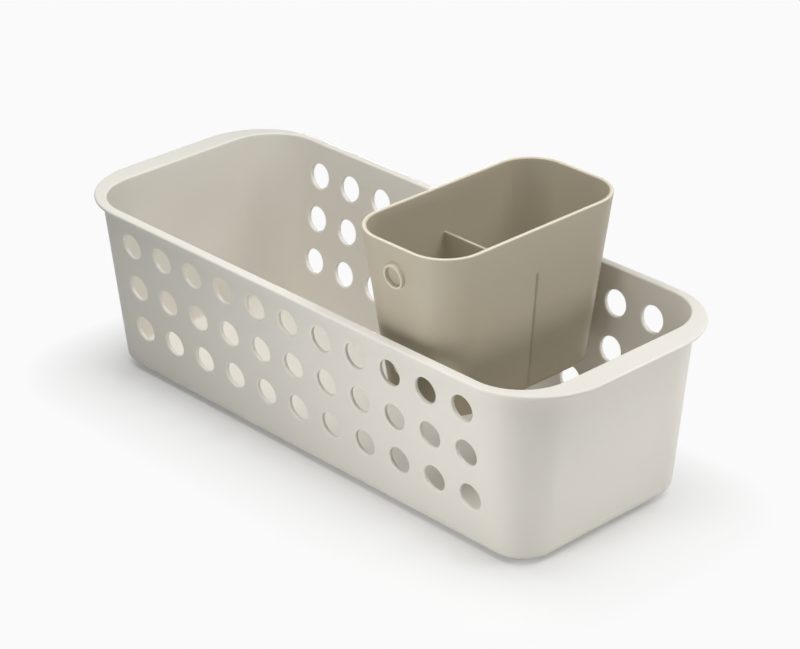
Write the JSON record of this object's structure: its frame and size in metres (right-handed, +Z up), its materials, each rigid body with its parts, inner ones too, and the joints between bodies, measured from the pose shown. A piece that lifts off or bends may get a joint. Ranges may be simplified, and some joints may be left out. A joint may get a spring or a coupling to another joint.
{
  "type": "bathroom storage basket",
  "caption": "Long tapered storage basket with perforated long walls, a turned-out lip and soft feet, and a lift-out divided cup that locates in the perforations with ring pegs.",
  "frame": {"origin": "on the ground under the middle of the basket", "axes": "+Z up, X along the basket with the cup towards +X, -Y the front long wall"},
  "size_m": [0.342, 0.1406, 0.1427],
  "materials": {
    "basket_plastic": "warm off-white satin moulded plastic",
    "cup_plastic": "taupe satin moulded plastic",
    "foot_rubber": "soft matt non-slip rubber"
  },
  "bodies": {
    "basket": {"basket": "basket_plastic", "foot_front_left": "foot_rubber", "foot_front_right": "foot_rubber", "foot_back_left": "foot_rubber", "foot_back_right": "foot_rubber"},
    "cup": {"divided_cup": "cup_plastic"}
  },
  "joints": [
    {"name": "cup_lift", "type": "slide", "parent": "basket", "child": "cup", "axis": [0, 0, 1], "range_m": [-0.0488, 0.05]}
  ]
}
